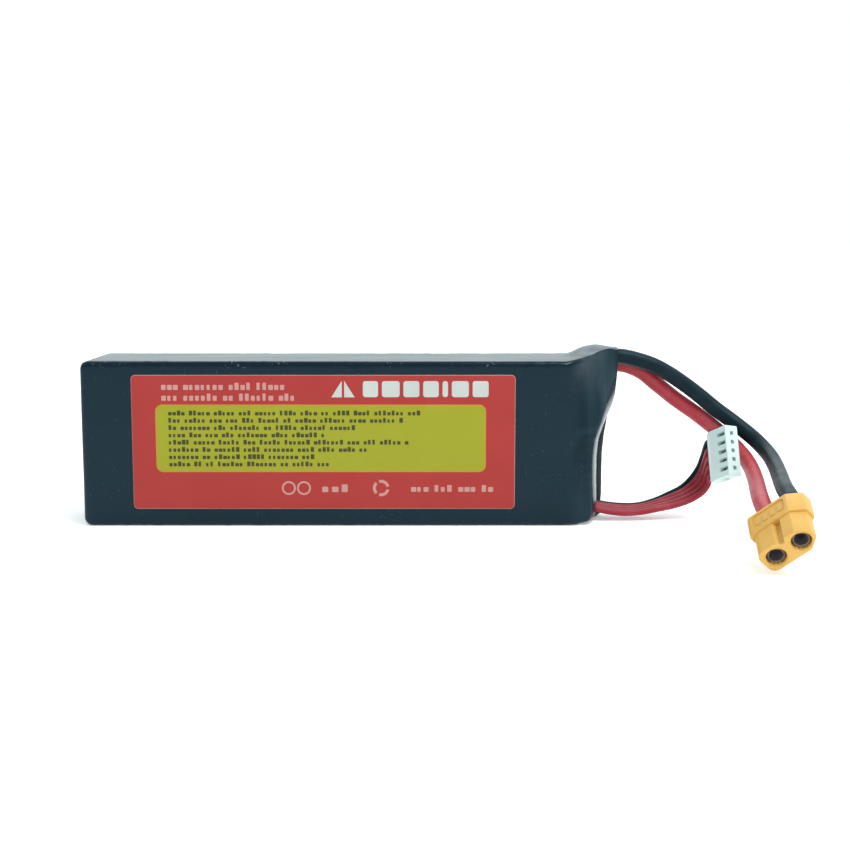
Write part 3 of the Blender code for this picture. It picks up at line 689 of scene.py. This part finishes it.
def build_film(material, painted_inside_sheen):
    """Shrink film with slack, crinkled edges and a gathered mouth, as one closed skin."""
    rings = film_rings()
    plain = np.array([[tuple(entry[0]) for entry in ring] for ring in rings])
    normals = grid_normals(plain)
    middle = len(rings) // 2
    outward = normals[middle, :, 1] * (plain[middle, :, 1] - plain[middle, :, 1].mean())
    if outward.sum() < 0.0:
        normals = -normals
    relief = np.array([[film_relief(*entry) for entry in ring] for ring in rings])
    covered = behind_label(plain)
    relief[covered] = np.minimum(relief[covered], 0.02 * MM)
    outer = plain + normals * relief[:, :, None]
    outer[:, :, 2] = np.maximum(outer[:, :, 2], 0.02 * MM)
    inner = outer - normals * FILM
    bm = bmesh.new()
    faces = skin(bm, [list(map(Vector, ring)) for ring in (*outer, *inner[::-1])], closed=True)
    around = outer.shape[1]
    # Painted reflection: the inner skin near the mouth takes a paler grey material than the film's own
    # colour.
    for face in faces[len(outer) * around:(len(outer) + INSIDE_SHEEN_RINGS) * around]:
        face.material_index = 1
    return piece_from("film_sleeve", bm, [material, painted_inside_sheen], ["shrink_wrap"], 70.0)


# --- label ---
def sheet_bm(outline, back, front, edge):
    """Thin sheet facing -Y from an (x, z) outline, with a small bevelled edge."""
    centre = Vector([sum(values) / len(outline) for values in zip(*outline)])
    rings = [[(a, back, b) for a, b in outline], [(a, front + edge, b) for a, b in outline]]
    inner = []
    count = len(outline)
    for k in range(count):
        before = Vector(outline[k - 1])
        after = Vector(outline[(k + 1) % count])
        direction = (after - before).normalized()
        normal = Vector((-direction.y, direction.x))
        here = Vector(outline[k])
        if normal.dot(centre - here) < 0.0:
            normal = -normal
        inner.append(here + normal * edge)
    rings.append([(p.x, front, p.y) for p in inner])
    return solid(rings)


def build_label(red, edge_material):
    """Printed vinyl label on the film, with its cut edge paler than its face."""
    outline = box_outline((LABEL_LOW.x, LABEL_LOW.z), (LABEL_HIGH.x, LABEL_HIGH.z), 1.2 * MM, 8)
    front = FILM_LOW.y - 0.20 * MM
    bm = sheet_bm(outline, FILM_LOW.y + 0.1 * MM, front, 0.16 * MM)
    for face in bm.faces:
        face.material_index = 0 if len(face.verts) > 4 else 1       # sides have four corners
    piece_from("label_sheet", bm, [red, edge_material], ["front_label"], 30.0)
    return front


def print_piece(name, outlines, back, front, material):
    """One layer of print: flat shapes that stand just proud of the label."""
    bm = bmesh.new()
    for outline in outlines:
        skin(bm, [[(a, back, b) for a, b in outline], [(a, front, b) for a, b in outline]])
    piece_from(name, bm, material, (), 30.0)


def greeked_row(rng, start, end, middle, height, pitch):
    """Row of small blocks in groups, in place of a line of small print."""
    blocks = []
    place = start
    while place < end - pitch:
        letters = rng.choice((2, 3, 3, 4, 5, 6, 7))
        for _ in range(letters):
            if place > end - pitch * 0.5:
                break
            width = pitch * rng.uniform(0.52, 0.86)
            tall = rng.random() < 0.28
            low = middle - height * 0.5
            high = low + height * (1.0 if tall else 0.70)
            blocks.append(box_outline((place, low), (place + width, high), 0.16 * min(width, high - low), 2))
            place += pitch
        place += pitch * 0.75
    return blocks


def ring_outlines(centre, outer, inner, parts=2, gap=0.0):
    """Plain ring made of arcs."""
    outlines = []
    for part in range(parts):
        start = 2.0 * math.pi * part / parts + gap
        end = 2.0 * math.pi * (part + 1) / parts - gap
        angles = np.linspace(start, end, 14)
        outlines.append([(centre[0] + radius * math.cos(a), centre[1] + radius * math.sin(a))
                         for radius, sweep in ((outer, angles), (inner, angles[::-1])) for a in sweep])
    return outlines


def build_panel(front, panel, panel_edge):
    """Plain panel with a thin rim of another colour."""
    rim = Vector((PANEL_RIM, PANEL_RIM))
    print_piece("label_panel_edge", [box_outline(PANEL_LOW, PANEL_HIGH, 1.95 * MM, 8)],
                front + PRINT_LAYER, front - PRINT_LAYER, panel_edge)
    print_piece("label_panel", [box_outline(PANEL_LOW + rim, PANEL_HIGH - rim, 1.65 * MM, 8)],
                front, front - 2 * PRINT_LAYER, panel)


def small_print(rng):
    """Rows of blocks on the panel."""
    rows = []
    for index, length in enumerate(SMALL_PRINT_LENGTHS):
        middle = SMALL_PRINT_TOP - SMALL_PRINT_SPACING * index
        rows += greeked_row(rng, SMALL_PRINT_START, SMALL_PRINT_START + length * MM, middle,
                            1.35 * MM, 1.2 * MM)
    return rows


def pale_print(rng):
    """Two rows above the panel and two short ones at the label's foot."""
    rows = greeked_row(rng, -52.7 * MM, -18.4 * MM, 39.3 * MM, 2.0 * MM, 1.62 * MM)
    rows += greeked_row(rng, -52.7 * MM, -15.3 * MM, 36.3 * MM, 2.0 * MM, 1.62 * MM)
    rows += greeked_row(rng, -8.5 * MM, 2.3 * MM, 10.8 * MM, 2.2 * MM, 2.7 * MM)
    rows += greeked_row(rng, 16.2 * MM, 39.0 * MM, 10.75 * MM, 1.9 * MM, 1.75 * MM)
    return rows


def round_marks():
    """Two plain rings and a ring in three parts, at the label's foot."""
    marks = []
    for x in (-17.8, -13.6):
        marks += ring_outlines((x * MM, FOOT_HEIGHT), 1.95 * MM, 1.45 * MM)
    return marks + ring_outlines((7.9 * MM, FOOT_HEIGHT), 2.3 * MM, 1.5 * MM, 3, 0.22)


def heading():
    """Row of heavy blocks, with a triangle in two halves before it."""
    blocks = []
    place = HEADING_START
    low, high = HEADING_HEIGHTS
    for width in HEADING_WIDTHS:
        blocks.append(box_outline((place, low), (place + width * MM, high), 0.7 * MM, 4))
        place += width * MM + HEADING_GAP
    low, high = 36.25 * MM, 40.85 * MM
    blocks.append([(-5.75 * MM, low), (-2.85 * MM, low), (-2.85 * MM, high)])
    blocks.append([(-2.2 * MM, low), (0.7 * MM, low), (-2.2 * MM, high)])
    return blocks


def build_print(front, panel, panel_edge, ink, silver, pink):
    """Plain generic shapes where the label is printed: a panel, rows of blocks and simple marks."""
    rng = random.Random(11)
    build_panel(front, panel, panel_edge)
    print_piece("label_small_print", small_print(rng), front - PRINT_LAYER, front - 3 * PRINT_LAYER, ink)
    for name, outlines, material in (("label_pale_print", pale_print(rng), pink),
                                     ("label_round_marks", round_marks(), pink),
                                     ("label_heading", heading(), silver)):
        print_piece(name, outlines, front + PRINT_LAYER, front - PRINT_LAYER, material)


# --- power plug ---
def plug_outline(square_end, pointed_end, half, shoulder, tip_half, inset=0.0, corner=1.4 * MM):
    """Plug section: round corners at the square end, two chamfers at the other, moved in by inset."""
    slope = Vector((pointed_end - shoulder, tip_half - half)).normalized()
    outward = Vector((-slope.y, slope.x))
    reach = outward.dot(Vector((shoulder, half))) - inset
    side = half - inset
    tip = pointed_end - inset
    shoulder_x = (reach - outward.y * side) / outward.x
    tip_y = (reach - outward.x * tip) / outward.y
    soft = 0.7 * MM
    round_end = max(corner - inset, 0.5 * MM)
    upper = [(tip, tip_y, soft), (shoulder_x, side, soft), (inset - square_end, side, round_end)]
    lower = [(a, -b, radius) for a, b, radius in reversed(upper)]
    return rounded_polygon(upper + lower)


def edge_profile(low, high, radius, steps=4):
    """(inset, z) pairs up a wall from low to high with both ends rounded."""
    angles = [math.radians(90.0 * step / steps) for step in range(steps + 1)]
    lower = [(radius * (1.0 - math.sin(a)), low + radius * (1.0 - math.cos(a))) for a in angles]
    upper = [(radius * (1.0 - math.cos(a)), high - radius * (1.0 - math.sin(a))) for a in angles]
    return lower + upper


def power_plug_rings():
    """Sections of the solid plug: the collar, the step to the nose, then the nose's rounded end."""
    sections = []
    for inset, z in edge_profile(-POWER_PLUG_LENGTH, -NOSE_LENGTH, 0.35 * MM):
        sections.append((plug_outline(*COLLAR, inset), z))
    sections.append((plug_outline(*NOSE, 0.0, NOSE_CORNER), -NOSE_LENGTH))
    nose_profile = edge_profile(-NOSE_LENGTH, 0.0, 0.3 * MM)
    for inset, z in nose_profile[len(nose_profile) // 2:]:
        sections.append((plug_outline(*NOSE, inset, NOSE_CORNER), z))
    return [[(a, b, z) for a, b in outline] for outline, z in sections]


def power_plug_cutters():
    """What is taken out of the plug: pole holes, groove, side panels and the pocket for the leads."""
    cutters = []
    for x in (-SOCKET_PITCH / 2, SOCKET_PITCH / 2):
        cutters.append(prism(circle(2.45 * MM, x), -POWER_PLUG_LENGTH - MM, MM))
        cutters.append(solid([[(a, b, z) for a, b in circle(radius, x)]
                              for radius, z in ((2.4 * MM, -0.35 * MM), (2.95 * MM, 0.2 * MM))]))
    groove = rounded_polygon([(-1.6 * MM, 4.6 * MM, 0.2 * MM), (1.6 * MM, 4.6 * MM, 0.2 * MM),
                              (0.5 * MM, 2.4 * MM, 0.4 * MM), (-0.5 * MM, 2.4 * MM, 0.4 * MM)])
    cutters.append(prism(groove, -NOSE_LENGTH + 0.02 * MM, MM))
    for side in (-1.0, 1.0):
        panel = box_outline((-6.0 * MM, -13.4 * MM), (3.4 * MM, -8.8 * MM), 1.0 * MM)
        cutters.append(solid([[(a, side * depth, b) for a, b in panel]
                              for depth in (3.8 * MM, 4.6 * MM)]))
    pocket = plug_outline(*REAR_POCKET)
    cutters.append(prism(pocket, -POWER_PLUG_LENGTH - MM, -POWER_PLUG_LENGTH + 2.0 * MM))
    return cutters


def build_power_plug(plastic, brass, painted_shade_bore):
    """Two-pole plug: collar, nose with a groove between its poles, recessed side panels, sockets."""
    matrix = plug_matrix(POWER_PLUG_ORIGIN, POWER_PLUG_X, POWER_PLUG_Z)
    bm = solid(power_plug_rings())
    bm.transform(matrix)
    shell = piece_from("power_plug_shell", bm, plastic, ["power_plug_housing"])
    cut(shell, power_plug_cutters(), matrix)
    sharpen(shell, 38.0)
    build_panel_ribs(matrix, plastic)
    build_sockets(matrix, brass, painted_shade_bore)
    return matrix


def build_panel_ribs(matrix, plastic):
    """Low plain ribs in the plug's recessed side panels."""
    bm = bmesh.new()
    for side in (-1.0, 1.0):
        for index in range(4):
            x = (-5.0 + 2.1 * index) * MM
            outline = box_outline((x, -12.4 * MM), (x + 1.3 * MM, -9.8 * MM), 0.35 * MM, 3)
            skin(bm, [[(a, side * depth, b) for a, b in outline] for depth in (3.7 * MM, 3.98 * MM)])
    bm.transform(matrix)
    piece_from("power_plug_ribs", bm, plastic)


def build_sockets(matrix, brass, painted_shade_bore):
    """Turned brass sockets with a rounded lip, slit along their length."""
    profile = [(2.15, -11.9), (2.15, -0.95), (2.08, -0.75), (1.98, -0.7), (1.86, -0.72), (1.77, -0.85),
               (1.75, -1.1), (1.75, -9.3), (1.6, -9.5)]
    for pole, x in (("positive", -SOCKET_PITCH / 2), ("negative", SOCKET_PITCH / 2)):
        bm = solid([[(a, b, z * MM) for a, b in circle(radius * MM, x)] for radius, z in profile])
        bm.transform(matrix)
        piece = piece_from(f"power_socket_{pole}", bm, brass, [f"power_contact_{pole}"])
        left, right = x - 0.18 * MM, x + 0.18 * MM
        slit = [(left, 0.0), (right, 0.0), (right, 3 * MM), (left, 3 * MM)]
        cut(piece, [prism(slit, -7.0 * MM, MM)], matrix)
        sharpen(piece, 35.0)
        # Faces inside the bore take the dimmer second material, as painted shade inside the socket hole.
        piece.data.materials.append(painted_shade_bore)
        home = matrix.inverted()
        for face in piece.data.polygons:
            middle = home @ face.center
            if math.hypot(middle.x - x, middle.y) < 1.82 * MM:
                face.material_index = 1


# --- balance plug ---
def square_ring(y, width, z):
    """Square around a way, at this height in the plug."""
    half = width / 2
    return [(-half, y - half, z), (half, y - half, z), (half, y + half, z), (-half, y + half, z)]


def balance_plug_rings():
    """Sections of the solid plug, with a sloped edge at the rear of its window side."""
    half = BALANCE_PLUG_SIZE / 2
    rear = -BALANCE_PLUG_SIZE.z
    profile = edge_profile(rear, 0.0, 0.22 * MM)
    profile.insert(len(profile) // 2, (0.0, rear + CHAMFER_LENGTH))
    rings = []
    for inset, z in profile:
        shave = CHAMFER_DEPTH * max(0.0, 1.0 - (z - rear) / CHAMFER_LENGTH)
        low = (inset + shave - half.x, inset - half.y)
        high = (half.x - inset, half.y - inset)
        rings.append([(a, b, z) for a, b in box_outline(low, high, 0.3 * MM, 4)])
    return rings


def balance_plug_cutters():
    """For each way, a channel that narrows to its pin hole, and a window into the channel."""
    outside = -BALANCE_PLUG_SIZE.x / 2 - MM
    cutters = []
    for way in range(WAYS):
        y = (way - (WAYS - 1) / 2) * WAY_PITCH
        cutters.append(solid([square_ring(y, width, z) for width, z in (
            (CHANNEL_WIDTH, -BALANCE_PLUG_SIZE.z - MM), (CHANNEL_WIDTH, -PIN_HOLE_DEPTH),
            (PIN_HOLE_WIDTH, -PIN_HOLE_DEPTH), (PIN_HOLE_WIDTH, MM))]))
        opening = box_outline((y - 0.55 * MM, -3.9 * MM), (y + 0.55 * MM, -0.5 * MM), 0.12 * MM, 2)
        cutters.append(solid([[(x, a, b) for a, b in opening] for x in (outside, 0.0)]))
    return cutters


def build_balance_plug(plastic):
    """Five-way white plug: channels, windows into them, pin holes, a sloped rear edge and a rib."""
    matrix = plug_matrix(BALANCE_PLUG_ORIGIN, BALANCE_PLUG_X, BALANCE_PLUG_Z)
    bm = solid(balance_plug_rings())
    bm.transform(matrix)
    shell = piece_from("balance_plug_shell", bm, plastic, ["balance_plug_housing"])
    cut(shell, balance_plug_cutters(), matrix)
    sharpen(shell, 30.0)
    base = 0.1 * MM - BALANCE_PLUG_SIZE.y / 2
    crest = base - 0.7 * MM
    section = [(-0.35 * MM, crest), (0.35 * MM, crest), (0.7 * MM, base), (-0.7 * MM, base)]
    rib = prism(section, -5.4 * MM, -3.4 * MM)
    rib.transform(matrix)
    piece_from("balance_plug_rib", rib, plastic)
    return matrix


# --- stage ---
def build_floor():
    """Wide pale floor, which glows a little so that it stays white to its far edge."""
    finish = Finish("floor", (0.90, 0.91, 0.91), 0.85, specular=0.2)
    finish.shader.inputs["Emission Color"].default_value = (1.0, 1.0, 1.0, 1.0)
    finish.shader.inputs["Emission Strength"].default_value = 0.3
    finish.bump(finish.noise(0.004, 3.0), 0.00002, 0.3)
    bm = bmesh.new()
    bmesh.ops.create_grid(bm, x_segments=8, y_segments=8, size=40.0)
    floor = object_from("floor", bm)
    floor.data.materials.append(finish.material)


def build_lights():
    """Soft area lights aimed at the pack. The fill isn't seen in reflections."""
    aim = Vector((0.02, 0.0, 0.02))
    for name, place, size, power, glossy in (("key", (0.50, -0.40, 1.0), 0.6, 9.0, True),
                                             ("fill", (0.5, -0.9, 0.35), 0.6, 1.5, False),
                                             ("back", (0.1, 0.9, 0.9), 0.8, 3.0, True)):
        light = bpy.data.lights.new(name, "AREA")
        light.size = size
        light.energy = power
        lamp = bpy.data.objects.new(name, light)
        lamp.location = place
        lamp.rotation_euler = (aim - Vector(place)).to_track_quat("-Z", "Y").to_euler()
        lamp.visible_glossy = glossy
        bpy.context.scene.collection.objects.link(lamp)


def build_world():
    """Even studio surroundings, brighter behind the pack than in front of it."""
    world = bpy.data.worlds.new("studio")
    world.use_nodes = True
    nodes = world.node_tree.nodes
    links = world.node_tree.links
    background = nodes["Background"]
    background.inputs["Color"].default_value = (1.0, 1.13, 1.16, 1.0)
    direction = nodes.new("ShaderNodeTexCoord")
    split = nodes.new("ShaderNodeSeparateXYZ")
    level = nodes.new("ShaderNodeMapRange")
    for socket, number in (("From Min", -0.3), ("From Max", 0.5), ("To Min", 0.6), ("To Max", 1.0)):
        level.inputs[socket].default_value = number
    links.new(direction.outputs["Generated"], split.inputs["Vector"])
    links.new(split.outputs["Y"], level.inputs["Value"])
    links.new(level.outputs["Result"], background.inputs["Strength"])
    bpy.context.scene.world = world
    bpy.context.scene.view_settings.view_transform = "Standard"


def build_camera():
    """Camera in front of the pack, looking slightly down."""
    lens = bpy.data.cameras.new("camera")
    lens.lens = 58.45
    lens.sensor_width = 36.0
    lens.clip_start = 0.01
    lens.clip_end = 50.0
    camera = bpy.data.objects.new("camera", lens)
    camera.location = (0.0201, -0.394, 0.07775)
    camera.rotation_euler = (math.radians(90.0 - 7.4), 0.0, 0.0)
    bpy.context.scene.collection.objects.link(camera)
    bpy.context.scene.camera = camera


def finish_inner_nodes(metal):
    """Procedural materials for the CAD pieces that keep their meshes."""
    pouch = pouch_finish()
    tab = metal_finish("tab_plate", (0.78, 0.77, 0.74), 0.3, (0.6, 0.58, 0.53))
    pad = fibre_finish("pad_tape", (0.75, 0.74, 0.68), (0.62, 0.60, 0.53), 0.0012)
    band = vinyl_finish("polyimide", (0.66, 0.33, 0.04), (0.75, 0.45, 0.10), 0.3)
    board = fibre_finish("board", (0.02, 0.16, 0.07), (0.03, 0.22, 0.10), 0.0008)
    paper = fibre_finish("paper", (0.42, 0.52, 0.48), (0.50, 0.58, 0.54), 0.0009)
    foam = fibre_finish("foam", (0.045, 0.047, 0.052), (0.08, 0.08, 0.09), 0.0014)
    insert = moulded_finish("plug_insert", (0.80, 0.46, 0.10), (0.62, 0.32, 0.05))
    rules = (("cell_tape", pad), ("stack_tape", band), ("tab_board", board), ("insulating_paper", paper),
             ("tab_spacer_foam", foam), ("rear_end_pad", foam), ("power_plug_insert", insert),
             ("balance_contact", metal))
    for name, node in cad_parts.items():
        if node.hide_render:
            continue
        chosen = tab if name.endswith("_tab") else pouch
        for start, material in rules:
            if name.startswith(start):
                chosen = material
        node.data.materials.clear()
        node.data.materials.append(chosen)


def build_stage():
    """Floor, lights, surroundings and camera."""
    build_floor()
    build_lights()
    build_world()
    build_camera()


def build_plugs():
    """Both plugs. Returns their matrices."""
    yellow = moulded_finish("plug_yellow", (0.66, 0.37, 0.075), (0.52, 0.26, 0.038))
    # Painted shade: the brass is darkened so the sockets' lips read as the dark ring of shade at the holes'
    # edge.
    brass = metal_finish("brass", (0.20, 0.14, 0.09), 0.45, (0.12, 0.09, 0.07))
    # Painted shade: the bores get a dim grey-purple metal that stands for the shade deep in the socket holes.
    painted_shade_bore = metal_finish("bore_metal_painted_shade", (0.40, 0.37, 0.39), 0.6, (0.28, 0.26, 0.27))
    power_matrix = build_power_plug(yellow, brass, painted_shade_bore)
    white = moulded_finish("plug_white", (0.61, 0.75, 0.73), (0.52, 0.66, 0.65), 0.35)
    return power_matrix, build_balance_plug(white)


def cord_finishes():
    """Black and red for the leads, and for the thin wires a deeper red that is painted shade."""
    return (silicone_finish("silicone_black", (0.0015, 0.008, 0.013), (0.010, 0.024, 0.031), 0.22,
                            (0.62, 0.90, 1.0)),
            silicone_finish("silicone_red", (0.40, 0.030, 0.042), (0.54, 0.12, 0.14)),
            silicone_finish("painted_shade_wire_red", (0.27, 0.014, 0.026), (0.40, 0.06, 0.08), 0.26))


def build_label_and_print():
    """Label with its layers of print."""
    front = build_label(vinyl_finish("label", (0.33, 0.024, 0.020), (0.37, 0.034, 0.028)),
                        vinyl_finish("label_edge", (0.45, 0.20, 0.20), (0.5, 0.28, 0.28)))
    build_print(front, vinyl_finish("label_yellow", (0.28, 0.28, 0.008), (0.31, 0.31, 0.018)),
                vinyl_finish("label_orange", (0.46, 0.20, 0.02), (0.5, 0.28, 0.07)),
                vinyl_finish("label_ink", (0.04, 0.04, 0.010), (0.08, 0.08, 0.025)),
                vinyl_finish("label_silver", (0.45, 0.47, 0.44), (0.56, 0.57, 0.55)),
                vinyl_finish("label_pale", (0.48, 0.22, 0.20), (0.56, 0.32, 0.28)))


def build():
    """The stage, then the plugs and cords, then the film, the label and the looks of the rest."""
    build_stage()
    black, red, painted_shade_wire_red = cord_finishes()
    power_matrix, balance_matrix = build_plugs()
    build_leads(power_matrix, black, red)
    build_balance_wires(balance_matrix, black, painted_shade_wire_red)
    # The film's second material is a paler grey for the inside of the mouth, as painted reflection.
    build_film(film_finish(), Finish("film_inside_painted_sheen", (0.030, 0.045, 0.047), 0.4).material)
    build_label_and_print()
    finish_inner_nodes(metal_finish("contact", (0.55, 0.55, 0.52), 0.35, (0.35, 0.34, 0.31)))


build()
